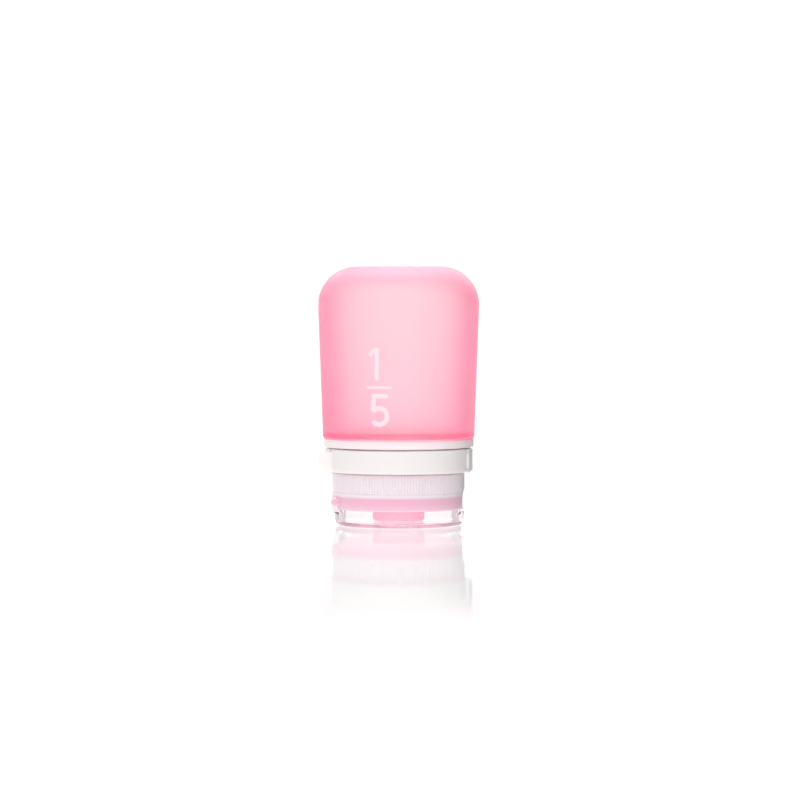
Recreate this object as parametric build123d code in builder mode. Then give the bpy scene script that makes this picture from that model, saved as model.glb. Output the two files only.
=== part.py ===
from build123d import *

import os
from math import pi

# A travel squeeze bottle, standing upside down on its closed flip lid.
# The bottle's axis is Z, the front is -Y, the lid hinges at -X and the loop arm at +X.
# Lengths are millimetres and angles degrees. Levels count up from the standing face.

os.makedirs("parts", exist_ok=True)

# Whole bottle
overall_height = 70.6
overrun = 5.0           # how far a cut runs past what it cuts
seat_gap = 0.05         # between two pieces that rest on each other
stub_clearance = 0.05   # round a hinge stub in its bore
edge_break = 0.25       # small round on moulded edges

# Silicone body
shoulder_radius = 20.85
body_draft = 2.1        # the body widens from the shoulder to the crown
crown_round = 10.4
body_wall = 2.3
crown_wall = 2.4
shoulder_round = 0.6
dish_radius = 9.0       # shallow dish in the bottle's base, at the top here
dish_depth = 0.4
dish_slope = 45.0
neck_bore_radius = 13.0
neck_wall = 1.2
lip_setback = 0.5       # the silicone ends this far inside the collar's mouth

# Rigid collar, bonded round the silicone neck
sleeve_wall = 1.15
seat_wall = 2.0         # the thicker stretch that the loop band sits on
flange_height = 2.3
flange_lap = 0.25       # the flange stands this much outside the loop band
bead_height = 0.35      # the bead that the loop band snaps over
bead_proud = 0.35

# Screw cap
thread_room = 0.95      # radial space for the thread between sleeve and cap
skirt_wall = 1.1
skirt_reach = 3.4       # the plain skirt above the grip, inside the loop band
grip_step = 0.55        # the grip stands this much outside the skirt
grip_height = 9.85
grip_round = 0.5
deck_thickness = 0.8
crease_rise = 4.5       # the groove under the grip ribs, above the deck
crease_depth = 0.25
crease_height = 0.5
rib_count = 136
rib_depth = 0.22        # how deep the grooves between the ribs go
groove_share = 0.6      # of the ribs' pitch
hinge_pad_radius = 14.0
hinge_pad_proud = 0.3

# Flip lid
lid_height = 4.6
lid_seam = 0.1          # between the lid's rim and the cap
lid_inset = 0.4
lid_wall = 1.2
lid_plate = 1.4
lid_round = 1.8
lid_draft = 2.2
lip_radius = 12.0       # the thumb lip, opposite the hinge
lip_proud = 0.4
seal_ring_gap = 0.8     # between the lid's seal ring and the rim of the valve's tip
seal_ring_wall = 0.9

# Thumb recess, cut across the lid and the cap
scoop_radius = 9.5
scoop_depth = 0.72
scoop_rise = 1.9        # its middle, above the cap's deck

# Lid hinge
hinge_rise = 1.9        # its axis, above the cap's deck
hinge_inset = 0.57      # its axis, inside the grip's surface
knuckle_radius = 0.8
ear_radius = 1.0
ear_width = 1.4
ear_gap = 0.3           # between the lid's lug and each ear
stub_radius = 0.45
stub_length = 1.3
lug_half_width = 6.6
lug_thickness = 1.35
lug_proud = 0.55        # the lug's outer face, outside the hinge axis
lug_root = 0.9          # how far the lug runs down the lid's wall
pocket_clearance = 0.3  # round the knuckle in the cap's hinge pocket
pocket_height = 3.4

# Slit valve, its retainer and the cap's gasket
valve_step = 0.6        # the ledge in the cap's bore over the valve's rim
valve_gap = 0.1         # between the valve and the rigid pieces round it
valve_disc_thickness = 1.0
valve_rim_height = 2.6
valve_rim_wall = 1.4
spout_radius = 7.05
spout_wall = 1.2
spout_tip_gap = 0.1     # between the spout's tip and the closed lid
spout_tip_wall = 0.8
spout_tip_round = 0.5
tip_rim_width = 1.65    # round the tip's sunk middle, which has the slit
tip_recess_depth = 0.6
slit_length = 6.0
slit_width = 0.15
retainer_bore_radius = 9.5
retainer_flange = 0.8
retainer_gap = 0.12     # between the retainer and the cap's bore
gasket_thickness = 0.95
gasket_gap = 0.3        # between the gasket and the cap's bore
gasket_width = 2.8

# Loop band: a fixed frame round the back and an arm that opens at the front
band_gap = 0.7          # between the grip's radius and the band's inner face
band_wall = 1.5
band_height = 6.25
band_clearance = 0.2    # between the cap's grip and the band
band_round = 0.5
collar_seam = 0.45      # between the band and the collar's flange
ring_height = 2.1       # the frame's full ring, under the collar's flange
ring_gap = 0.1          # between the ring and the collar
ring_inset = 0.2        # the ring's front stays this much inside the band
pivot_angle = -22.0     # the pivot's place, turned from +X
arm_span = 132.0        # from the pivot round the front to the catch
catch_gap = 3.0         # degrees between the arm's free end and the frame
arm_knuckle_radius = 0.8
arm_pivot_inset = 0.25
arm_stub_radius = 0.4
arm_stub_length = 0.7
arm_stub_end_gap = 0.1
fork_height = 0.9       # the frame's lugs above and below the arm's knuckle
fork_gap = 0.1
swing_gap = 0.15        # round the corners that swing past each other
tongue_sweep = 9.0      # the frame's catch tongue, inside the arm's free end
tongue_wall = 0.6
tongue_height = 2.6
tongue_gap = 0.1

# Pull tab on the arm's free end
tab_proud = 1.5         # its tip, outside the band
tab_height = 5.3
tab_thickness = 1.3
tab_round = 1.9
tab_drop = 0.25         # its lower edge, above the band's lower edge
tab_setback = 0.65      # its back face, behind the arm's outer corner

# Levels, up from the standing face
deck_level = lid_height + lid_seam
deck_top = deck_level + deck_thickness
valve_top = deck_top + valve_rim_height
retainer_top = valve_top + retainer_flange
gasket_level = retainer_top + seat_gap
mouth_level = gasket_level + gasket_thickness + seat_gap
grip_top = deck_level + grip_height
skirt_top = grip_top + skirt_reach
band_bottom = grip_top + band_clearance
band_top = band_bottom + band_height
ring_level = band_top - ring_height
flange_level = band_top + collar_seam
shoulder_level = flange_level + flange_height
spout_level = lid_plate + spout_tip_gap
slit_level = spout_level + tip_recess_depth
hinge_level = deck_level + hinge_rise
scoop_level = deck_level + scoop_rise
crease_level = deck_level + crease_rise

# Radii and reaches, out from the axis
neck_radius = neck_bore_radius + neck_wall
collar_bore = neck_radius + seat_gap
sleeve_radius = collar_bore + sleeve_wall
seat_radius = collar_bore + seat_wall
cap_bore = sleeve_radius + thread_room
skirt_radius = cap_bore + skirt_wall
grip_radius = skirt_radius + grip_step
valve_pocket_radius = cap_bore - valve_step
valve_radius = valve_pocket_radius - valve_gap
valve_rim_bore = valve_radius - valve_rim_wall
gasket_radius = cap_bore - gasket_gap
ring_bore = seat_radius + ring_gap
band_bore = grip_radius + band_gap
band_radius = band_bore + band_wall
flange_radius = band_radius + flange_lap
lid_radius = grip_radius - lid_inset
lid_bore = lid_radius - lid_wall
tip_recess_radius = spout_radius - tip_rim_width
seal_ring_radius = tip_recess_radius - seal_ring_gap
hinge_reach = grip_radius - hinge_inset
scoop_reach = grip_radius - scoop_depth + scoop_radius
pivot = Vector(band_radius - arm_pivot_inset, 0).rotate(Axis.Z, pivot_angle)


def radial_plane(angle):
    """The upright plane through the axis, turned by an angle from +X."""
    outward = Vector(1, 0, 0).rotate(Axis.Z, angle)
    return Plane(origin=(0, 0, 0), x_dir=outward, z_dir=outward.cross(Vector(0, 0, 1)))


# The hollow inside the silicone body, from the neck's mouth to the crown
body_height = overall_height - shoulder_level
with BuildPart() as body_hollow:
    with BuildSketch(Plane.XY.offset(shoulder_level + body_wall)):
        Circle(shoulder_radius - body_wall)
    extrude(amount=body_height - body_wall - crown_wall, taper=-body_draft)
    fillet(body_hollow.edges().group_by(Axis.Z)[-1], radius=crown_round - body_wall)
    fillet(body_hollow.edges().group_by(Axis.Z)[0], radius=body_wall)
    with BuildSketch(Plane.XY):
        Circle(neck_bore_radius)
    extrude(amount=shoulder_level + body_wall)

# Silicone body: a round squeeze body with a neck, open only at the neck's mouth
with BuildPart() as bottle_body:
    with BuildSketch(Plane.XY.offset(shoulder_level)):
        Circle(shoulder_radius)
    extrude(amount=body_height, taper=-body_draft)
    fillet(bottle_body.edges().group_by(Axis.Z)[-1], radius=crown_round)
    fillet(bottle_body.edges().group_by(Axis.Z)[0], radius=shoulder_round)
    with BuildSketch(Plane.XY.offset(shoulder_level)):
        Circle(neck_radius)
    extrude(amount=mouth_level + lip_setback - shoulder_level)
    with BuildSketch(Plane.XY.offset(overall_height)):
        Circle(dish_radius)
    extrude(amount=-dish_depth, taper=dish_slope, mode=Mode.SUBTRACT)
    add(body_hollow.part, mode=Mode.SUBTRACT)
bottle_body.part.label = "bottle_body"
export_step(bottle_body.part, "parts/bottle_body.step")

# Collar: a flange under the silicone shoulder and a sleeve that carries the thread
bead_top = ring_level - seat_gap
bead_bottom = bead_top - bead_height
with BuildPart() as neck_collar:
    with BuildSketch(Plane.XZ):
        with BuildLine():
            FilletPolyline(
                (collar_bore, mouth_level),
                (sleeve_radius, mouth_level),
                (sleeve_radius, bead_bottom),
                (seat_radius + bead_proud, bead_bottom),
                (seat_radius + bead_proud, bead_top),
                (seat_radius, bead_top),
                (seat_radius, flange_level),
                (flange_radius, flange_level),
                (flange_radius, shoulder_level),
                (collar_bore, shoulder_level),
                radius=[0, edge_break, 0, 0, 0, 0, 0, edge_break, edge_break, 0],
                close=True,
            )
        make_face()
    revolve(axis=Axis.Z)
neck_collar.part.label = "neck_collar"
export_step(neck_collar.part, "parts/neck_collar.step")

# Band frame: a full ring on the collar, the rear wall, the pivot's fork and the catch tongue
frame_sweep = 360 - arm_span - catch_gap
frame_end_angle = pivot_angle + frame_sweep
fork_top = band_bottom + fork_height
fork_ceiling = band_top - fork_height
knuckle_bottom = fork_top + fork_gap
knuckle_height = fork_ceiling - fork_gap - knuckle_bottom
swing_radius = band_wall - arm_pivot_inset + swing_gap
stub_bore_depth = arm_stub_length - fork_gap + arm_stub_end_gap
tongue_level = band_bottom + (band_height - tongue_height) / 2
with BuildPart() as band_frame:
    with BuildSketch(Plane.XZ):
        with Locations((ring_bore, ring_level)):
            ring_width = band_bore - ring_inset - ring_bore
            Rectangle(ring_width, ring_height, align=(Align.MIN, Align.MIN))
    revolve(axis=Axis.Z)
    with BuildSketch(radial_plane(pivot_angle)):
        with BuildLine():
            FilletPolyline(
                (ring_bore, ring_level),
                (band_bore, ring_level),
                (band_bore, band_bottom),
                (band_radius, band_bottom),
                (band_radius, band_top),
                (ring_bore, band_top),
                radius=[0, 0, 0, band_round, band_round, 0],
                close=True,
            )
        make_face()
    revolve(axis=Axis.Z, revolution_arc=frame_sweep)
    with BuildSketch(Plane.XY.offset(band_bottom)):
        with Locations(pivot):
            Circle(arm_knuckle_radius)
    extrude(amount=band_height)
    with BuildSketch(Plane.XY.offset(fork_top)):
        with Locations(pivot):
            Circle(swing_radius)
    extrude(amount=fork_ceiling - fork_top, mode=Mode.SUBTRACT)
    with BuildSketch(Plane.XY.offset(fork_top - stub_bore_depth)):
        with Locations(pivot):
            Circle(arm_stub_radius + stub_clearance)
    extrude(amount=fork_ceiling - fork_top + 2 * stub_bore_depth, mode=Mode.SUBTRACT)
    with BuildSketch(radial_plane(frame_end_angle - catch_gap / 2)):
        with Locations((band_bore, tongue_level)):
            Rectangle(tongue_wall, tongue_height, align=(Align.MIN, Align.MIN))
    revolve(axis=Axis.Z, revolution_arc=tongue_sweep)
band_frame.part.label = "band_frame"
export_step(band_frame.part, "parts/band_frame.step")

# Loop arm: the band's front, on a knuckle with a stub at each end, with a pull tab
arm_end_angle = pivot_angle - arm_span
arm_corner = Vector(band_radius, 0).rotate(Axis.Z, arm_end_angle)
tab_back = -arm_corner.Y - tab_setback
tab_reach = band_radius + tab_proud
tab_root_reach = ((band_bore + band_wall / 2) ** 2 - (tab_back + tab_thickness) ** 2) ** 0.5
with BuildPart() as loop_arm:
    with BuildSketch(radial_plane(arm_end_angle)):
        with BuildLine():
            FilletPolyline(
                (band_bore, band_bottom),
                (band_radius, band_bottom),
                (band_radius, band_top),
                (band_bore, band_top),
                radius=[0, band_round, band_round, 0],
                close=True,
            )
        make_face()
    revolve(axis=Axis.Z, revolution_arc=arm_span)
    with BuildSketch(Plane.XY.offset(band_bottom)):
        with Locations(pivot):
            Circle(swing_radius)
    extrude(amount=knuckle_bottom - band_bottom, mode=Mode.SUBTRACT)
    with BuildSketch(Plane.XY.offset(band_top)):
        with Locations(pivot):
            Circle(swing_radius)
    extrude(amount=knuckle_bottom + knuckle_height - band_top, mode=Mode.SUBTRACT)
    with BuildSketch(Plane.XY.offset(knuckle_bottom)):
        with Locations(pivot):
            Circle(arm_knuckle_radius)
    extrude(amount=knuckle_height)
    with BuildSketch(Plane.XY.offset(knuckle_bottom - arm_stub_length)):
        with Locations(pivot):
            Circle(arm_stub_radius)
    extrude(amount=knuckle_height + 2 * arm_stub_length)
    with BuildSketch(Plane.XZ.offset(tab_back)) as tab_outline:
        with Locations((-tab_root_reach, band_bottom + tab_drop)):
            Rectangle(tab_reach - tab_root_reach, tab_height, align=(Align.MAX, Align.MIN))
        fillet(tab_outline.vertices().group_by(Axis.X)[0], radius=tab_round)
    extrude(amount=tab_thickness)
    with BuildSketch(radial_plane(arm_end_angle - catch_gap)):
        with Locations((band_bore - overrun, tongue_level - tongue_gap)):
            slot_width = overrun + tongue_wall + tongue_gap
            slot_height = tongue_height + 2 * tongue_gap
            Rectangle(slot_width, slot_height, align=(Align.MIN, Align.MIN))
    revolve(axis=Axis.Z, revolution_arc=catch_gap + tongue_sweep, mode=Mode.SUBTRACT)
loop_arm.part.label = "loop_arm"
export_step(loop_arm.part, "parts/loop_arm.step")

# Cap base: the grip with its hinge pad, the plain skirt, the deck and the lid's hinge ears
cap_hinge = (-hinge_reach, hinge_level)
pocket_reach = hinge_reach - knuckle_radius - pocket_clearance
pocket_half_width = lug_half_width + ear_gap
groove_radius = grip_radius - crease_depth
groove_width = hinge_pad_proud + 2 * crease_depth
groove_flare = crease_height / 2 * groove_width / crease_depth
rib_pitch = 2 * pi * grip_radius / rib_count
rib_flare = rib_depth + 2 * hinge_pad_proud
rib_spread = groove_share * rib_pitch / 2 * rib_flare / rib_depth
with BuildPart() as cap_base:
    with BuildSketch(Plane.XY.offset(deck_level)):
        Circle(grip_radius)
        with Locations((hinge_pad_radius - grip_radius - hinge_pad_proud, 0)):
            Circle(hinge_pad_radius)
        make_hull()
    extrude(amount=grip_height)
    fillet(cap_base.edges().group_by(Axis.Z)[-1], radius=grip_round)
    with BuildSketch(Plane.XY.offset(grip_top)):
        Circle(skirt_radius)
    extrude(amount=skirt_reach)
    with BuildSketch(Plane.XZ):
        with Locations(cap_hinge):
            Circle(ear_radius)
            Rectangle(hinge_reach, 2 * ear_radius, align=(Align.MIN, Align.CENTER))
    extrude(amount=pocket_half_width + ear_width, both=True)
    with BuildSketch(Plane.XZ):
        Rectangle(spout_radius + valve_gap, skirt_top, align=(Align.MIN, Align.MIN))
        with Locations((0, deck_top)):
            Rectangle(valve_pocket_radius, skirt_top, align=(Align.MIN, Align.MIN))
        with Locations((0, valve_top)):
            Rectangle(cap_bore, skirt_top, align=(Align.MIN, Align.MIN))
    revolve(axis=Axis.Z, mode=Mode.SUBTRACT)
    with BuildSketch(Plane.XZ):
        with Locations((-pocket_reach, deck_level + pocket_height)):
            Rectangle(hinge_reach, pocket_height + overrun, align=(Align.MAX, Align.MAX))
    extrude(amount=pocket_half_width, both=True, mode=Mode.SUBTRACT)
    with BuildSketch(Plane.XZ):
        with Locations(cap_hinge):
            Circle(stub_radius + stub_clearance)
    extrude(amount=lug_half_width + stub_length + seat_gap, both=True, mode=Mode.SUBTRACT)
    with BuildSketch(Plane.XZ):
        with BuildLine():
            Polyline(
                (groove_radius, crease_level),
                (groove_radius + groove_width, crease_level - groove_flare),
                (groove_radius + groove_width, crease_level + groove_flare),
                close=True,
            )
        make_face()
    revolve(axis=Axis.Z, mode=Mode.SUBTRACT)
    with BuildSketch(Plane.XY.offset(crease_level)):
        with PolarLocations(grip_radius - rib_depth, rib_count):
            Polygon(
                (0, 0), (rib_flare, -rib_spread), (rib_flare, rib_spread), align=None
            )
    extrude(amount=grip_top - grip_round - crease_level, mode=Mode.SUBTRACT)
    with BuildSketch(Plane.XZ):
        with Locations((scoop_reach, scoop_level)):
            Circle(scoop_radius)
    extrude(amount=grip_radius, both=True, mode=Mode.SUBTRACT)
cap_base.part.label = "cap_base"
export_step(cap_base.part, "parts/cap_base.step")

# Flip lid: a shallow cup with a thumb lip, a ring that presses round the slit and a hinge lug
lug_root_reach = (lid_bore**2 - lug_half_width**2) ** 0.5
with BuildPart() as flip_lid:
    with BuildSketch(Plane.XY.offset(lid_height)):
        Circle(lid_radius)
        with Locations((lid_radius + lip_proud - lip_radius, 0)):
            Circle(lip_radius)
        make_hull()
    extrude(amount=-lid_height, taper=lid_draft)
    fillet(flip_lid.edges().group_by(Axis.Z)[0], radius=lid_round)
    with BuildSketch(Plane.XZ):
        with BuildLine():
            Polyline(
                (-hinge_reach - lug_proud, lid_height),
                (-hinge_reach - lug_proud, lid_height - lug_root),
                (-lug_root_reach, lid_height - 2 * lug_root),
                (-lug_root_reach, lid_height),
                close=True,
            )
        make_face()
    extrude(amount=lug_half_width, both=True)
    with BuildSketch(Plane.XY.offset(lid_plate)):
        Circle(lid_bore)
    extrude(amount=lid_height, mode=Mode.SUBTRACT)
    with BuildSketch(Plane.XY.offset(lid_plate)):
        Circle(seal_ring_radius)
        Circle(seal_ring_radius - seal_ring_wall, mode=Mode.SUBTRACT)
    extrude(amount=slit_level - seat_gap - lid_plate)
    with BuildSketch(Plane.XZ):
        with Locations((-hinge_reach - lug_proud, hinge_level)):
            lug_rise = hinge_level - lid_height + lug_root
            Rectangle(lug_thickness, lug_rise, align=(Align.MIN, Align.MAX))
        with Locations(cap_hinge):
            Circle(knuckle_radius)
    extrude(amount=lug_half_width, both=True)
    with BuildSketch(Plane.XZ):
        with Locations(cap_hinge):
            Circle(stub_radius)
    extrude(amount=lug_half_width + stub_length, both=True)
    with BuildSketch(Plane.XZ):
        with Locations((scoop_reach, scoop_level)):
            Circle(scoop_radius)
    extrude(amount=lid_radius, both=True, mode=Mode.SUBTRACT)
flip_lid.part.label = "flip_lid"
export_step(flip_lid.part, "parts/flip_lid.step")

# Valve: a soft rim and disc in the cap, and a spout with a crossed slit in its sunk tip
disc_top = deck_top + valve_disc_thickness
tip_top = slit_level + spout_tip_wall
with BuildPart() as valve:
    with BuildSketch(Plane.XZ):
        with BuildLine():
            FilletPolyline(
                (0, slit_level),
                (tip_recess_radius, slit_level),
                (tip_recess_radius, spout_level),
                (spout_radius, spout_level),
                (spout_radius, deck_top),
                (valve_radius, deck_top),
                (valve_radius, valve_top),
                (valve_rim_bore, valve_top),
                (valve_rim_bore, disc_top),
                (spout_radius - spout_wall, disc_top),
                (spout_radius - spout_wall, tip_top),
                (0, tip_top),
                radius=[0, 0, 0, spout_tip_round, 0, 0, 0, 0, 0, 0, 0, 0],
                close=True,
            )
        make_face()
    revolve(axis=Axis.Z)
    with BuildSketch(Plane.XY.offset(slit_level)):
        Rectangle(slit_length, slit_width)
        Rectangle(slit_width, slit_length)
    extrude(amount=spout_tip_wall, mode=Mode.SUBTRACT)
valve.part.label = "valve"
export_step(valve.part, "parts/valve.step")

# Retainer: the rigid ring that holds the valve's rim down in the cap
with BuildPart() as valve_retainer:
    with BuildSketch(Plane.XZ):
        with BuildLine():
            Polyline(
                (retainer_bore_radius, disc_top),
                (valve_rim_bore - valve_gap, disc_top),
                (valve_rim_bore - valve_gap, valve_top),
                (cap_bore - retainer_gap, valve_top),
                (cap_bore - retainer_gap, retainer_top),
                (retainer_bore_radius, retainer_top),
                close=True,
            )
        make_face()
    revolve(axis=Axis.Z)
valve_retainer.part.label = "valve_retainer"
export_step(valve_retainer.part, "parts/valve_retainer.step")

# Gasket: the soft flat ring between the retainer and the collar's mouth
with BuildPart() as cap_gasket:
    with BuildSketch(Plane.XY.offset(gasket_level)):
        Circle(gasket_radius)
        Circle(gasket_radius - gasket_width, mode=Mode.SUBTRACT)
    extrude(amount=gasket_thickness)
cap_gasket.part.label = "cap_gasket"
export_step(cap_gasket.part, "parts/cap_gasket.step")
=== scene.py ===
from math import cos, pi, radians, sin, tan

import bmesh
import bpy
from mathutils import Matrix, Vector


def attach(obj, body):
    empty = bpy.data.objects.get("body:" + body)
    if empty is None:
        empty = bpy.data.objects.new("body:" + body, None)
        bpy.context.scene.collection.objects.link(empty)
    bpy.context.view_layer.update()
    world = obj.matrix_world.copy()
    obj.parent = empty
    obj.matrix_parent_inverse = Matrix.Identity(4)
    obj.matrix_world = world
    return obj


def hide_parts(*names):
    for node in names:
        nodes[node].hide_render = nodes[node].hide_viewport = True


# A travel squeeze bottle that stands upside down on its closed flip lid.
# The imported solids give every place. Sizes here are millimetres until mm turns them into metres.

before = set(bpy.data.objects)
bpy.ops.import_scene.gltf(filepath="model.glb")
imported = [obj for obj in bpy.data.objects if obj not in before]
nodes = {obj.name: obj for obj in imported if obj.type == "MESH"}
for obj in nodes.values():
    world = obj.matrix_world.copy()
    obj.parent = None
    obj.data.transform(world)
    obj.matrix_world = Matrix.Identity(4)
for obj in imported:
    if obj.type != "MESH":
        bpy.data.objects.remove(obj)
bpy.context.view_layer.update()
scene = bpy.context.scene
mm = 0.001
weld = 0.001 * mm   # points nearer than this become one

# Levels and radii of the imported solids
crown_level = 70.6
shoulder_level = 23.75
mouth_level = 9.95
deck_level = 4.7
shoulder_radius = 20.85
body_draft = radians(2.1)
neck_bore = 13.0
neck_radius = 14.2
sleeve_radius = 15.4
cap_bore = 16.35
spout_radius = 7.05


# Node trees

def place(tree, kind, values=None, **settings):
    """Adds a node. values fill its inputs, and a socket among them is linked."""
    node = tree.nodes.new(kind)
    for name, setting in settings.items():
        setattr(node, name, setting)
    for key, value in (values or {}).items():
        if isinstance(value, bpy.types.NodeSocket):
            tree.links.new(value, node.inputs[key])
        else:
            node.inputs[key].default_value = value
    return node


def calc(tree, operation, *values):
    """One arithmetic step on sockets or numbers."""
    return place(tree, "ShaderNodeMath", dict(enumerate(values)), operation=operation).outputs[0]


def spread(tree, value, low, high, start=0.3, end=0.7):
    """Stretches a 0 to 1 value between two numbers."""
    return place(
        tree,
        "ShaderNodeMapRange",
        {"Value": value, "From Min": start, "From Max": end, "To Min": low, "To Max": high},
    ).outputs["Result"]


def ease(tree, value, start, end, low=0.0, high=1.0):
    """A soft step between two numbers."""
    return place(
        tree,
        "ShaderNodeMapRange",
        {"Value": value, "From Min": start, "From Max": end, "To Min": low, "To Max": high},
        interpolation_type="SMOOTHSTEP",
    ).outputs["Result"]


def shape_tree(name, inputs):
    """An empty Geometry Nodes tree with the named inputs that a piece's sizes come in by."""
    tree = bpy.data.node_groups.new(name, "GeometryNodeTree")
    tree.interface.new_socket("Shape", in_out="INPUT", socket_type="NodeSocketGeometry")
    for label, kind in inputs.items():
        tree.interface.new_socket(label, in_out="INPUT", socket_type="NodeSocket" + kind)
    tree.interface.new_socket("Shape", in_out="OUTPUT", socket_type="NodeSocketGeometry")
    return tree, tree.nodes.new("NodeGroupInput").outputs


def close_tree(tree, shape, finish, crease):
    """Smooths all but the sharp edges, sets the finish and ends the tree."""
    bend = tree.nodes.new("GeometryNodeInputMeshEdgeAngle").outputs["Unsigned Angle"]
    sharp = place(
        tree,
        "FunctionNodeCompare",
        {"A": bend, "B": crease},
        data_type="FLOAT",
        operation="GREATER_THAN",
    )
    even = place(tree, "GeometryNodeSetShadeSmooth", {"Geometry": shape, "Shade Smooth": True})
    edged = place(
        tree,
        "GeometryNodeSetShadeSmooth",
        {"Geometry": even.outputs[0], "Selection": sharp.outputs[0], "Shade Smooth": False},
        domain="EDGE",
    )
    real = place(tree, "GeometryNodeRealizeInstances", {"Geometry": edged.outputs[0]})
    done = place(tree, "GeometryNodeSetMaterial", {"Geometry": real.outputs[0], "Material": finish})
    place(tree, "NodeGroupOutput", {"Shape": done.outputs[0]})


def turned_tree():
    """Rounds an outline's corners by each point's own rounding and turns it round the bottle's axis."""
    tree, given = shape_tree(
        "turned_piece",
        {"Steps round": "Int", "Steps in a corner": "Int", "Crease": "Float", "Finish": "Material"},
    )
    hub = 20 * mm
    rounding = place(tree, "GeometryNodeInputNamedAttribute", {"Name": "rounding"}, data_type="FLOAT")
    outline = place(tree, "GeometryNodeMeshToCurve", {"Mesh": given["Shape"]})
    rounded = place(
        tree,
        "GeometryNodeFilletCurve",
        {
            "Curve": outline.outputs[0],
            "Count": given["Steps in a corner"],
            "Radius": rounding.outputs[0],
            "Limit Radius": True,
        },
        mode="POLY",
    )
    # The outline is swept along a circle, whose hub lies as far from it as the circle's radius
    laid = place(
        tree,
        "GeometryNodeTransform",
        {"Geometry": rounded.outputs[0], "Translation": (-hub, 0, 0), "Rotation": (pi / 2, 0, 0)},
    )
    circle = place(
        tree, "GeometryNodeCurvePrimitiveCircle", {"Resolution": given["Steps round"], "Radius": hub}
    )
    swept = place(
        tree, "GeometryNodeCurveToMesh", {"Curve": circle.outputs[0], "Profile Curve": laid.outputs[0]}
    )
    closed = place(
        tree, "GeometryNodeMergeByDistance", {"Geometry": swept.outputs[0], "Distance": weld}
    )
    # An outline that runs along the axis leaves edges there with no face, and they go
    faces_beside = tree.nodes.new("GeometryNodeInputMeshEdgeNeighbors").outputs["Face Count"]
    bare = place(
        tree, "FunctionNodeCompare", {2: faces_beside, 3: 0}, data_type="INT", operation="EQUAL"
    )
    cleared = place(
        tree,
        "GeometryNodeDeleteGeometry",
        {"Geometry": closed.outputs[0], "Selection": bare.outputs[0]},
        domain="EDGE",
        mode="EDGE_FACE",
    )
    close_tree(tree, cleared.outputs[0], given["Finish"], given["Crease"])
    return tree


def thread_tree():
    """A right-handed ridge that climbs round a wall and runs out at both ends."""
    tree, given = shape_tree(
        "screw_thread",
        {
            "Radius": "Float",
            "Depth": "Float",
            "Sunk": "Float",
            "Root width": "Float",
            "Crest width": "Float",
            "Pitch": "Float",
            "Turns": "Float",
            "Start level": "Float",
            "Start angle": "Float",
            "Finish": "Material",
        },
    )
    rise = calc(tree, "MULTIPLY", given["Pitch"], given["Turns"])
    spiral = place(
        tree,
        "GeometryNodeCurveSpiral",
        {
            "Resolution": 72,
            "Rotations": given["Turns"],
            "Start Radius": given["Radius"],
            "End Radius": given["Radius"],
            "Height": rise,
            "Reverse": True,
        },
    )
    upright = place(tree, "GeometryNodeSetCurveNormal", {"Curve": spiral.outputs[0]}, mode="Z_UP")
    along = tree.nodes.new("GeometryNodeSplineParameter").outputs["Factor"]
    from_end = calc(tree, "MINIMUM", along, calc(tree, "SUBTRACT", 1.0, along))
    run_out = ease(tree, from_end, 0.0, 0.07, 0.02, 1.0)
    corners = []
    for reach, width in (("Sunk", "Root width"), ("Depth", "Crest width")):
        half = calc(tree, "MULTIPLY", given[width], 0.5)
        for side in (1.0, -1.0):
            across = calc(tree, "MULTIPLY", half, side)
            point = place(tree, "ShaderNodeCombineXYZ", {"X": given[reach], "Y": across})
            corners.append(point.outputs[0])
    profile = place(
        tree,
        "GeometryNodeCurvePrimitiveQuadrilateral",
        {"Point 1": corners[0], "Point 2": corners[1], "Point 3": corners[3], "Point 4": corners[2]},
        mode="POINTS",
    )
    ridge = place(
        tree,
        "GeometryNodeCurveToMesh",
        {
            "Curve": upright.outputs[0],
            "Profile Curve": profile.outputs[0],
            "Scale": run_out,
            "Fill Caps": True,
        },
    )
    moved = place(
        tree,
        "GeometryNodeTransform",
        {
            "Geometry": ridge.outputs[0],
            "Translation": place(tree, "ShaderNodeCombineXYZ", {"Z": given["Start level"]}).outputs[0],
            "Rotation": place(tree, "ShaderNodeCombineXYZ", {"Z": given["Start angle"]}).outputs[0],
        },
    )
    close_tree(tree, moved.outputs[0], given["Finish"], radians(35))
    return tree


def joined_tree(name, operation):
    """Fuses another solid with the shape, or cuts it out."""
    tree, given = shape_tree(name, {"Other": "Object", "Crease": "Float", "Finish": "Material"})
    other = place(tree, "GeometryNodeObjectInfo", {"Object": given["Other"]})
    solid = place(
        tree,
        "GeometryNodeMeshBoolean",
        {"Mesh 2": other.outputs["Geometry"]},
        operation=operation,
        solver="EXACT",
    )
    shape_input = "Mesh 1" if operation == "DIFFERENCE" else "Mesh 2"
    tree.links.new(given["Shape"], solid.inputs[shape_input])
    close_tree(tree, solid.outputs["Mesh"], given["Finish"], given["Crease"])
    return tree


def grow(name, start, tree, **sizes):
    """Runs a tree on a starting mesh and keeps what it makes as a plain mesh."""
    piece = bpy.data.objects.new(name, start)
    scene.collection.objects.link(piece)
    modifier = piece.modifiers.new("shape", "NODES")
    modifier.node_group = tree
    sizes = {key.replace("_", " ").lower(): value for key, value in sizes.items()}
    for item in tree.interface.items_tree:
        if item.in_out == "INPUT" and item.name.lower() in sizes:
            modifier[item.identifier] = sizes.pop(item.name.lower())
    assert not sizes, sizes
    whole = piece.evaluated_get(bpy.context.evaluated_depsgraph_get())
    piece.data = bpy.data.meshes.new_from_object(whole)
    piece.modifiers.remove(modifier)
    piece.data.name = name
    return piece


# Meshes and pieces

def face_outwards(piece):
    """Turns a closed piece's faces outwards."""
    work = bmesh.new()
    work.from_mesh(piece.data)
    bmesh.ops.recalc_face_normals(work, faces=work.faces)
    work.to_mesh(piece.data)
    work.free()
    return piece


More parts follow.
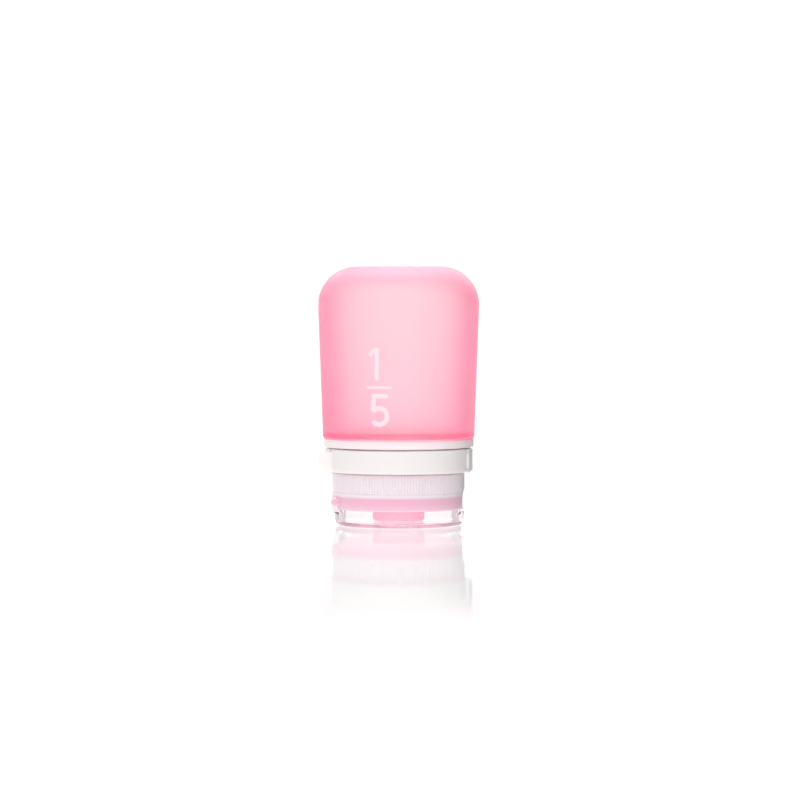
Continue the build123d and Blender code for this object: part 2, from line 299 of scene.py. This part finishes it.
def keep_shape(name, work):
    """Makes an object of a closed bmesh, with its faces turned outwards."""
    bmesh.ops.recalc_face_normals(work, faces=work.faces)
    mesh = bpy.data.meshes.new(name)
    work.to_mesh(mesh)
    work.free()
    piece = bpy.data.objects.new(name, mesh)
    scene.collection.objects.link(piece)
    return piece


def turned(name, outline, finish, corner_steps, steps):
    """A turned piece. Its outline's points are radius, level and corner rounding, in millimetres."""
    start = bpy.data.meshes.new(name)
    count = len(outline)
    start.from_pydata(
        [(r * mm, 0, z * mm) for r, z, _ in outline], [(i, (i + 1) % count) for i in range(count)], []
    )
    rounding = start.attributes.new("rounding", "FLOAT", "POINT")
    rounding.data.foreach_set("value", [corner * mm for _, _, corner in outline])
    return face_outwards(
        grow(
            name,
            start,
            turning,
            Steps_round=steps,
            Steps_in_a_corner=corner_steps,
            Crease=crease,
            Finish=finish,
        )
    )


def own_mesh(node):
    """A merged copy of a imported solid's mesh."""
    copy = nodes[node].data.copy()
    work = bmesh.new()
    work.from_mesh(copy)
    bmesh.ops.remove_doubles(work, verts=work.verts, dist=weld)
    work.to_mesh(copy)
    work.free()
    copy.materials.clear()
    if "custom_normal" in copy.attributes:
        copy.attributes.remove(copy.attributes["custom_normal"])
    return copy


def settle(piece, body, slot, *replaced):
    """Puts a finished piece on its body, in place of the solids that it stands for."""
    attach(piece, body)
    if replaced:
        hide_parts(*replaced)


def discard(piece):
    """Removes a piece and gives back its mesh."""
    mesh = piece.data
    bpy.data.objects.remove(piece)
    return mesh


# Materials

def new_material(name, **values):
    """A material with its Principled shader's sockets set, and the object's own coordinates."""
    material = bpy.data.materials.new(name)
    material.use_nodes = True
    tree = material.node_tree
    shader = tree.nodes["Principled BSDF"]
    # An underscore in a socket's name stands for a space
    for socket, value in values.items():
        shader.inputs[socket.replace("_", " ")].default_value = value
    where = tree.nodes.new("ShaderNodeTexCoord").outputs["Object"]
    return material, tree, shader, where


def speckle(tree, where, size, detail=3.0, roughness=0.55):
    """Noise whose features are about size millimetres across."""
    return place(
        tree,
        "ShaderNodeTexNoise",
        {"Vector": where, "Scale": 1 / (size * mm), "Detail": detail, "Roughness": roughness},
    ).outputs["Fac"]


def blend_colors(tree, share, first, second):
    """A colour between two others, each a socket or three numbers."""
    mix = place(tree, "ShaderNodeMix", {"Factor": share}, data_type="RGBA")
    for index, color in ((6, first), (7, second)):
        if isinstance(color, bpy.types.NodeSocket):
            tree.links.new(color, mix.inputs[index])
        else:
            mix.inputs[index].default_value = (*color, 1)
    return mix.outputs[2]


def grain(tree, shader, height, depth):
    """Bump of a given depth in millimetres."""
    bump = place(tree, "ShaderNodeBump", {"Height": height, "Distance": depth * mm, "Strength": 1.0})
    tree.links.new(bump.outputs[0], shader.inputs["Normal"])


def dye(tree, color, density):
    """Colour that deepens with the way that light takes through the solid."""
    volume = place(tree, "ShaderNodeVolumeAbsorption", {"Color": (*color, 1), "Density": density})
    tree.links.new(volume.outputs[0], tree.nodes["Material Output"].inputs["Volume"])


def satin(name, colors, drift, roughness, patches, pores, depth, **values):
    """A satin finish: colour that drifts between two shades, uneven sheen and a fine grain.

    drift, patches and pores are how large these three patterns are, and depth is the grain's,
    all in millimetres.
    """
    material, tree, shader, where = new_material(name, **values)
    cloud = speckle(tree, where, drift, 2.0)
    tree.links.new(blend_colors(tree, cloud, *colors), shader.inputs["Base Color"])
    tree.links.new(spread(tree, speckle(tree, where, patches), *roughness), shader.inputs["Roughness"])
    grain(tree, shader, speckle(tree, where, pores), depth)
    return material


def body_silicone():
    """Nearly clear silicone, whose pink is the dye inside it."""
    material = satin(
        "body_silicone",
        colors=((1.0, 0.945, 0.90), (1.0, 0.935, 0.885)),
        drift=14,
        roughness=(0.33, 0.41),
        patches=2.5,
        pores=0.35,
        depth=0.004,
        IOR=silicone_ior,
        Transmission_Weight=1.0,
    )
    dye(material.node_tree, (1.0, 0.15, 0.62), 90)
    return material


def mark_silicone():
    """The paler, more milky look of the raised figures."""
    return satin(
        "mark_silicone",
        colors=((1.0, 0.75, 0.82), (1.0, 0.73, 0.805)),
        drift=4,
        roughness=(0.36, 0.46),
        patches=1.2,
        pores=0.35,
        depth=0.004,
        IOR=silicone_ior,
    )


def valve_silicone():
    """The denser pink of the valve."""
    return satin(
        "valve_silicone",
        colors=((0.90, 0.54, 0.66), (0.89, 0.515, 0.64)),
        drift=5,
        roughness=(0.40, 0.52),
        patches=1.2,
        pores=0.3,
        depth=0.003,
        IOR=silicone_ior,
    )


def moulded(name, first, second, rough, soak=1.2):
    """Satin moulded plastic. Light spreads inside it as far as soak, in millimetres."""
    return satin(
        name,
        colors=(first, second),
        drift=7,
        roughness=(rough - 0.05, rough + 0.06),
        patches=1.6,
        pores=0.25,
        depth=0.003,
        IOR=plastic_ior,
        Specular_IOR_Level=0.35,
        Subsurface_Weight=0.8,
        Subsurface_Radius=(1, 1, 1),
        Subsurface_Scale=soak * mm,
    )


def frosted_plastic():
    """Frosted plastic. The pink valve rim behind it is not seen through it, so its glow is painted into
    the colour as a soft pink stripe at the rim's level.
    """
    material, tree, shader, where = new_material(
        "frosted_plastic",
        IOR=plastic_ior,
        Specular_IOR_Level=0.08,
        Subsurface_Weight=1.0,
        Subsurface_Radius=(1, 1, 1),
        Subsurface_Scale=2 * mm,
    )
    # Painted light: the pink of the valve rim showing through is painted as a stripe from 4.4 to 8.5 mm
    # up, a little paler below 6 mm
    level = place(tree, "ShaderNodeSeparateXYZ", {"Vector": where}).outputs["Z"]
    rising = spread(tree, level, 0.0, 1.0, 4.4 * mm, 4.8 * mm)
    falling = spread(tree, level, 1.0, 0.0, 7.8 * mm, 8.5 * mm)
    deeper = spread(tree, level, 0.86, 1.0, 6.0 * mm, 6.5 * mm)
    painted_rim_glow = calc(tree, "MULTIPLY", calc(tree, "MULTIPLY", rising, falling), deeper)
    plain = blend_colors(tree, speckle(tree, where, 6, 2.0), (1.0, 0.83, 0.885), (0.995, 0.815, 0.875))
    pink = (1.0, 0.545, 0.675)
    tree.links.new(blend_colors(tree, painted_rim_glow, plain, pink), shader.inputs["Base Color"])
    tree.links.new(spread(tree, speckle(tree, where, 1.5), 0.42, 0.54), shader.inputs["Roughness"])
    grain(tree, shader, speckle(tree, where, 0.3, 2.0), 0.0012)
    return material


def clear_plastic():
    """Clear plastic with a faint pink cast and the fine marks of use."""
    material, tree, shader, where = new_material(
        "clear_plastic",
        IOR=plastic_ior,
        Transmission_Weight=1.0,
        Base_Color=(1.0, 0.99, 0.995, 1),
    )
    stretched = place(
        tree, "ShaderNodeMapping", {"Vector": where, "Scale": (1.0, 6.0, 1.0), "Rotation": (0, 0, 0.6)}
    ).outputs[0]
    marks = speckle(tree, stretched, 3.0, 5.0, 0.7)
    tree.links.new(spread(tree, marks, 0.02, 0.10, 0.45, 0.75), shader.inputs["Roughness"])
    grain(tree, shader, speckle(tree, where, 2.0), 0.004)
    dye(tree, (0.80, 0.56, 0.64), 36)
    return material


silicone_ior = 1.41
plastic_ior = 1.49
silicone = body_silicone()
mark_finish = mark_silicone()
valve_finish = valve_silicone()
frosted = frosted_plastic()
clear = clear_plastic()
natural = moulded("natural_plastic", (1.0, 0.955, 0.975), (1.0, 0.945, 0.965), 0.36, soak=3.5)
white = moulded("white_plastic", (0.885, 0.86, 0.85), (0.875, 0.85, 0.84), 0.40)
retainer_finish = moulded("retainer_plastic", (1.0, 0.945, 0.95), (0.99, 0.93, 0.94), 0.4)
soft_ring = moulded("gasket_silicone", (1.0, 0.93, 0.94), (0.99, 0.91, 0.925), 0.5)

crease = radians(30)
turning = turned_tree()
threading = thread_tree()
fusing = joined_tree("fused_solid", "UNION")
cutting = joined_tree("cut_solid", "DIFFERENCE")

# Silicone body, drawn in a little from its solid, because the photograph's body is narrower.
# Its wall is thickest low on the sides, where the photograph's pink is deepest.
draw_in = 0.2
crown_round = 10.4
shoulder_round = 0.7
dish_rim_radius = 9.2
dish_floor_radius = 8.7
dish_depth = 0.4
dish_round = 0.5
crown_wall = 2.0
upper_wall = 2.3
middle_wall = 2.2
middle_rise = 16
foot_wall = 3.3
floor_wall = 0.45
upper_cavity_round = 8.1
middle_cavity_round = 12.0
foot_cavity_round = 1.8
neck_edge_round = 0.6
lip_setback = 0.5
lip_round = 0.3
rest_gap = 0.03
body_foot = shoulder_radius - draw_in
crown_radius = body_foot + (crown_level - shoulder_level) * tan(body_draft)
cavity_floor = shoulder_level + floor_wall
cavity_top = crown_level - crown_wall
cavity_spread = body_foot - upper_wall + (cavity_top - cavity_floor) * tan(body_draft)
lip_level = mouth_level + lip_setback
body = turned(
    "silicone_body",
    [
        (neck_bore, lip_level, lip_round),
        (neck_radius, lip_level, lip_round),
        (neck_radius, shoulder_level + rest_gap, 0.0),
        (body_foot, shoulder_level + rest_gap, shoulder_round),
        (crown_radius, crown_level, crown_round),
        (dish_rim_radius, crown_level, dish_round),
        (dish_floor_radius, crown_level - dish_depth, dish_round),
        (0, crown_level - dish_depth, 0.0),
        (0, cavity_top, 0.0),
        (cavity_spread, cavity_top, upper_cavity_round),
        (body_foot - middle_wall, shoulder_level + middle_rise, middle_cavity_round),
        (body_foot - foot_wall, cavity_floor, foot_cavity_round),
        (neck_bore, cavity_floor, neck_edge_round),
    ],
    silicone,
    corner_steps=12,
    steps=144,
)
settle(body, "bottle", "silicone", "bottle_body")

# Raised capacity figures on the body
mark_gap = 0.01
mark_proud = 0.22
mark_bevel = 0.1
digit_width = 1.4
bar_width = 0.85


def on_body(across, level, proud):
    """A point at a height over the body's front, from how far it lies across and its level."""
    radius = body_foot + (level - shoulder_level) * tan(body_draft)
    reach = radius + proud
    turn = across / radius
    return (reach * sin(turn) * mm, -reach * cos(turn) * mm, level * mm)


def raised_line(work, left, foot, points, width, step=0.4):
    """A softened raised line along a path, given in millimetres from a figure's left edge and foot."""
    path = [Vector(points[0])]
    for goal in map(Vector, points[1:]):
        start = path[-1]
        count = max(1, round((goal - start).length / step))
        path += [start.lerp(goal, (k + 1) / count) for k in range(count)]
    half = width / 2
    section = (
        (half, mark_gap),
        (-half, mark_gap),
        (mark_bevel - half, mark_proud),
        (half - mark_bevel, mark_proud),
    )
    rings = []
    for i, point in enumerate(path):
        ways = [(path[j + 1] - path[j]).normalized() for j in (i - 1, i) if 0 <= j < len(path) - 1]
        along = sum(ways, Vector((0, 0))).normalized()
        side = Vector((-along.y, along.x)) / max(0.5, along.dot(ways[0]))
        ring = []
        for out, proud in section:
            across = left + point.x + side.x * out
            level = foot + point.y + side.y * out
            ring.append(work.verts.new(on_body(across, level, proud)))
        rings.append(ring)
    for first, second in zip(rings, rings[1:]):
        for k in range(4):
            work.faces.new((first[k], first[(k + 1) % 4], second[(k + 1) % 4], second[k]))
    work.faces.new(rings[0])
    work.faces.new(rings[-1])


# Each figure has its left edge, its foot, its line's width and its paths
bowl = [(2.6 + 2.15 * cos(radians(a)), 2.8 + 2.2 * sin(radians(a))) for a in range(145, -151, -10)]
one = ([(2.37, 0.0), (2.37, 8.7)], [(0.4, 6.55), (2.1, 8.1)])
bar = ([(0.0, 0.35), (6.94, 0.35)],)
five = ([(4.95, 8.2), (1.15, 8.2), (0.84, 4.1)], bowl)
work = bmesh.new()
for left, foot, width, paths in (
    (-8.25, 40.1, digit_width, one),
    (-8.73, 37.75, bar_width, bar),
    (-7.8, 27.66, digit_width, five),
):
    for path in paths:
        raised_line(work, left, foot, path, width)
marks = keep_shape("capacity_marks", work)
marks.data.materials.append(mark_finish)
settle(marks, "bottle", "silicone")

# Slit valve
plate_level = 1.4       # the closed lid's inner face
spout_gap = 0.1
tip_recess = 0.6
tip_rim = 1.65
tip_wall = 0.8
tip_round = 0.6
spout_wall = 1.2
deck_thickness = 0.8
disc_thickness = 1.0
rim_height = 2.6
rim_wall = 1.4
rim_round = 0.4
valve_radius = 15.65
inner_round = 0.5
small_round = 0.3
recess_round = 0.25
spout_level = plate_level + spout_gap
slit_level = spout_level + tip_recess
deck_top = deck_level + deck_thickness
disc_top = deck_top + disc_thickness
rim_top = deck_top + rim_height
rim_bore = valve_radius - rim_wall
uncut_valve = turned(
    "slit_valve",
    [
        (0, slit_level, 0.0),
        (spout_radius - tip_rim, slit_level, recess_round),
        (spout_radius - tip_rim, spout_level, small_round),
        (spout_radius, spout_level, tip_round),
        (spout_radius, deck_top, small_round),
        (valve_radius, deck_top, small_round),
        (valve_radius, rim_top, rim_round),
        (rim_bore, rim_top, small_round),
        (rim_bore, disc_top, small_round),
        (spout_radius - spout_wall, disc_top, inner_round),
        (spout_radius - spout_wall, slit_level + tip_wall, inner_round),
        (0, slit_level + tip_wall, 0.0),
    ],
    valve_finish,
    corner_steps=5,
    steps=96,
)

# The crossed slits are one thin prism, which is cut out of the valve's tip
slit_half_length = 3.0
slit_half_width = 0.075
cutter_start = 0.2
cutter_height = 1.2
arm_corners = (
    (slit_half_width, slit_half_width),
    (slit_half_width, slit_half_length),
    (-slit_half_width, slit_half_length),
)
cross = []
for quarter in range(4):
    spin = quarter * pi / 2
    for across, along in arm_corners:
        cross.append((across * cos(spin) - along * sin(spin), across * sin(spin) + along * cos(spin)))
work = bmesh.new()
foot_level = slit_level - cutter_start
foot = work.faces.new([work.verts.new((x * mm, y * mm, foot_level * mm)) for x, y in cross])
top = bmesh.ops.extrude_face_region(work, geom=[foot])["geom"]
raised = [part for part in top if isinstance(part, bmesh.types.BMVert)]
bmesh.ops.translate(work, verts=raised, vec=(0, 0, cutter_height * mm))
slit = keep_shape("slit", work)
valve = grow(
    "slit_valve", discard(uncut_valve), cutting, Other=slit, Crease=crease, Finish=valve_finish
)
discard(slit)
settle(valve, "cap", "valve", "valve")

# Gasket, on the retainer's flange
retainer_flange = 0.8
seat_gap = 0.05
gasket_gap = 0.3
gasket_width = 2.8
gasket_thickness = 0.95
gasket_round = 0.25
gasket_low = rim_top + retainer_flange + seat_gap
gasket_high = gasket_low + gasket_thickness
gasket_radius = cap_bore - gasket_gap
gasket_bore = gasket_radius - gasket_width
gasket = turned(
    "sealing_ring",
    [
        (gasket_bore, gasket_low, gasket_round),
        (gasket_radius, gasket_low, gasket_round),
        (gasket_radius, gasket_high, gasket_round),
        (gasket_bore, gasket_high, gasket_round),
    ],
    soft_ring,
    corner_steps=4,
    steps=96,
)
settle(gasket, "seal", "gasket", "cap_gasket")

# Screw threads: the cap's lies half a pitch from the collar's
pitch = 4.2
thread_height = 0.6
thread_root = 1.5
thread_crest = 0.7
thread_sunk = 0.3


def threaded(name, node, finish, radius, depth, start_level, turns, start_angle):
    """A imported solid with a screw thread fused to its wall. A negative depth points to the axis."""
    ridge = grow(
        name + "_thread",
        bpy.data.meshes.new(name + "_thread"),
        threading,
        Radius=radius * mm,
        Depth=depth * mm,
        Sunk=-thread_sunk * mm if depth > 0 else thread_sunk * mm,
        Root_width=thread_root * mm,
        Crest_width=thread_crest * mm,
        Pitch=pitch * mm,
        Turns=turns,
        Start_level=start_level * mm,
        Start_angle=start_angle,
        Finish=finish,
    )
    face_outwards(ridge)
    whole = grow(name, own_mesh(node), fusing, Other=ridge, Crease=crease, Finish=finish)
    discard(ridge)
    return whole


collar = threaded(
    "threaded_collar",
    "neck_collar",
    natural,
    sleeve_radius,
    thread_height,
    start_level=10.9,
    turns=1.2,
    start_angle=0.0,
)
settle(collar, "bottle", "collar", "neck_collar")
cap = threaded(
    "screw_cap",
    "cap_base",
    frosted,
    cap_bore,
    -thread_height,
    start_level=12.3,
    turns=1.0,
    start_angle=radians(-60),
)
settle(cap, "cap", "cap", "cap_base")

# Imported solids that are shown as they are
for node, finish in (
    ("band_frame", white),
    ("loop_arm", white),
    ("flip_lid", clear),
    ("valve_retainer", retainer_finish),
):
    nodes[node].material_slots[0].material = finish

# Studio, in metres: an open white sky with a brighter box behind and a little fill in front
world = bpy.data.worlds.new("studio")
scene.world = world
world.use_nodes = True
sky = world.node_tree
direction = sky.nodes.new("ShaderNodeTexCoord").outputs["Generated"]
axes = place(sky, "ShaderNodeSeparateXYZ", {"Vector": direction})
across, backward, upward = (axes.outputs[name] for name in "XYZ")
rear_high = ease(sky, upward, 0.08, 0.35, 0.0, 0.75)
rear_box = calc(sky, "MULTIPLY", ease(sky, backward, 0.2, 0.8), rear_high)
front_fill = ease(sky, backward, 0.0, -0.6, 0.0, 0.25)
open_light = calc(sky, "ADD", calc(sky, "ADD", rear_box, front_fill), 1.08)
# Darker flags at both sides give the edges their shade, the right one more
left_flag = ease(sky, across, -0.3, -0.75, 1.0, 0.55)
right_flag = ease(sky, across, 0.35, 0.75, 1.0, 0.30)
sky_light = calc(sky, "MULTIPLY", open_light, calc(sky, "MULTIPLY", left_flag, right_flag))
sky.links.new(sky_light, sky.nodes["Background"].inputs["Strength"])
sky.nodes["Background"].inputs["Color"].default_value = (1, 1, 1, 1)


def panel(name, corners, glow, color=(1, 1, 1)):
    """A flat stage piece of one even glow."""
    mesh = bpy.data.meshes.new(name)
    mesh.from_pydata(corners, [], [tuple(range(len(corners)))])
    piece = bpy.data.objects.new(name, mesh)
    scene.collection.objects.link(piece)
    material = bpy.data.materials.new(name)
    material.use_nodes = True
    tree = material.node_tree
    tree.nodes.remove(tree.nodes["Principled BSDF"])
    light = place(tree, "ShaderNodeEmission", {"Color": (*color, 1), "Strength": glow})
    tree.links.new(light.outputs[0], tree.nodes["Material Output"].inputs["Surface"])
    mesh.materials.append(material)
    return piece, tree, light


# A card at the right keeps soft light off the opaque parts on that side, as in the photograph
card_place = 0.04
card_front, card_back = -0.015, 0.10
card_height = 0.11
card = panel(
    "grey_card",
    [
        (card_place, card_front, 0.0),
        (card_place, card_back, 0.0),
        (card_place, card_back, card_height),
        (card_place, card_front, card_height),
    ],
    0.0,
)[0]
card.visible_camera = card.visible_glossy = card.visible_transmission = False

# Low shades behind the lid's two sides give its clear walls their darker edges
shade_near, shade_far = 0.022, 0.06
shade_back = 0.05
shade_low, shade_high = 0.0003, 0.011
shade_glow = 0.62
shade_color = (1.0, 0.85, 0.9)
shade_corners = (
    (shade_near, shade_low),
    (shade_far, shade_low),
    (shade_far, shade_high),
    (shade_near, shade_high),
)
for name, side in (("lid_shade_left", -1), ("lid_shade_right", 1)):
    corners = [(side * x, shade_back, z) for x, z in shade_corners]
    shade = panel(name, corners, shade_glow, shade_color)[0]
    shade.visible_camera = shade.visible_glossy = shade.visible_diffuse = False
    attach(shade, "seal")

# A pale floor with a soft mirror in a patch before the bottle, which fades out all round.
# Under the clear lid it glows more, as the photograph's lid is lit from below.
floor_reach = 3.0
floor_level = -0.05 * mm
floor_glow = 1.05
lid_glow = 1.7
floor, tree, light = panel(
    "floor",
    [(x * floor_reach, y * floor_reach, floor_level) for x, y in ((-1, -1), (1, -1), (1, 1), (-1, 1))],
    floor_glow,
)
where = tree.nodes.new("ShaderNodeTexCoord").outputs["Object"]
distance = place(tree, "ShaderNodeVectorMath", {0: where}, operation="LENGTH").outputs["Value"]
under_lid = ease(tree, distance, 0.010, 0.017, lid_glow, floor_glow)
tree.links.new(under_lid, light.inputs["Strength"])
patch_center = 0.09
centred = place(
    tree, "ShaderNodeVectorMath", {0: where, 1: (0.0, patch_center, 0.0)}, operation="ADD"
).outputs[0]
narrowed = place(
    tree, "ShaderNodeVectorMath", {0: centred, 1: (2.0, 1.0, 1.0)}, operation="MULTIPLY"
).outputs[0]
from_patch = place(tree, "ShaderNodeVectorMath", {0: narrowed}, operation="LENGTH").outputs["Value"]
mirror = ease(tree, from_patch, 0.10, 0.19, 0.52, 0.02)
gloss = place(tree, "ShaderNodeBsdfGlossy", {"Color": (1, 1, 1, 1), "Roughness": 0.06})
surface = place(tree, "ShaderNodeMixShader", {0: mirror, 1: light.outputs[0], 2: gloss.outputs[0]})
tree.links.new(surface.outputs[0], tree.nodes["Material Output"].inputs["Surface"])

# The bottle stands on its cap, so the floor keeps under the cap when the body is unscrewed from it
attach(floor, "seal")

# Camera: nearly level with the crown, 0.9 m in front and tilted down a little
camera_offset = 0.00036
camera_distance = 0.9
camera_height = 0.064
camera_tilt = 1.9
camera_data = bpy.data.cameras.new("camera")
camera = bpy.data.objects.new("camera", camera_data)
scene.collection.objects.link(camera)
camera.location = (camera_offset, -camera_distance, camera_height)
camera.rotation_euler = (radians(90 - camera_tilt), 0, 0)
camera_data.lens = 148.2
camera_data.sensor_width = 36
scene.camera = camera

# Light passes many clear walls, and filtering it would take much of it away
scene.view_settings.view_transform = "Standard"
scene.cycles.blur_glossy = 0.0
scene.cycles.max_bounces = 48
scene.cycles.diffuse_bounces = 48
scene.cycles.glossy_bounces = 48
scene.cycles.transmission_bounces = 48
scene.cycles.transparent_max_bounces = 16
